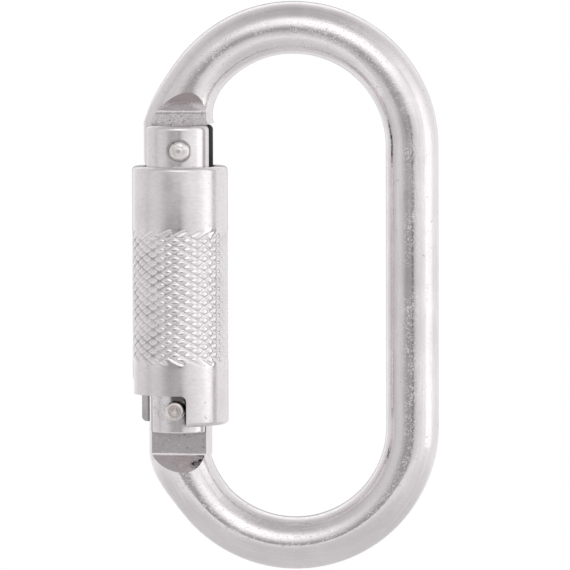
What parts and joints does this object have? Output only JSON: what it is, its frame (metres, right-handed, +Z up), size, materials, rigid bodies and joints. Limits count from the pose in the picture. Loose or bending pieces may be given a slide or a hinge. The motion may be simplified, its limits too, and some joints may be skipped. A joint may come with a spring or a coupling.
{
  "type": "oval twist-lock carabiner",
  "caption": "Oval steel carabiner with an inward-swinging spring gate and a knurled sleeve that twists to lock it.",
  "frame": {"origin": "inner saddle of the top bow: the lowest line of the bar there, at the middle of the loop", "axes": "+Z up along the loop's long axis, +X from the gate to the spine, -Y the front, where the button head of the latch rivet is"},
  "size_m": [0.0589, 0.0182, 0.1087],
  "materials": {
    "bar_steel": "bright zinc plating over a lightly polished bar",
    "gate_steel": "bright zinc plating over a turned surface",
    "rivet_steel": "bright, formed heads",
    "sleeve_steel": "satin zinc plating, knurled band",
    "spring_steel": "drawn spring wire"
  },
  "bodies": {
    "frame": {"body": "bar_steel"},
    "gate": {"gate": "gate_steel", "hinge_rivet": "rivet_steel", "latch_rivet": "rivet_steel", "gate_spring": "spring_steel"},
    "plunger": {"gate_plunger": "gate_steel"},
    "sleeve": {"locking_sleeve": "sleeve_steel", "sleeve_guide_ring": "sleeve_steel", "sleeve_spring": "spring_steel"}
  },
  "joints": [
    {"name": "gate_swing", "type": "hinge", "parent": "frame", "child": "gate", "pos_m": [-0.0213, 0, -0.01845], "axis": [0, -1, 0], "range_deg": [0, 37], "stiffness_Nm_per_rad": 0.35, "springref_deg": -34.38},
    {"name": "sleeve_twist", "type": "hinge", "parent": "gate", "child": "sleeve", "pos_m": [-0.022, 0, -0.06795], "axis": [0, 0, 1], "range_deg": [0, 96], "stiffness_Nm_per_rad": 0.02, "springref_deg": 148.97},
    {"name": "plunger_slide", "type": "slide", "parent": "gate", "child": "plunger", "axis": [0, 0, -1], "range_m": [0, 0.0008], "deforming": ["gate_spring"]}
  ],
  "couplings": [
    {"joint": "plunger_slide", "follows": "gate_swing", "m_per_rad": 0.0012}
  ]
}
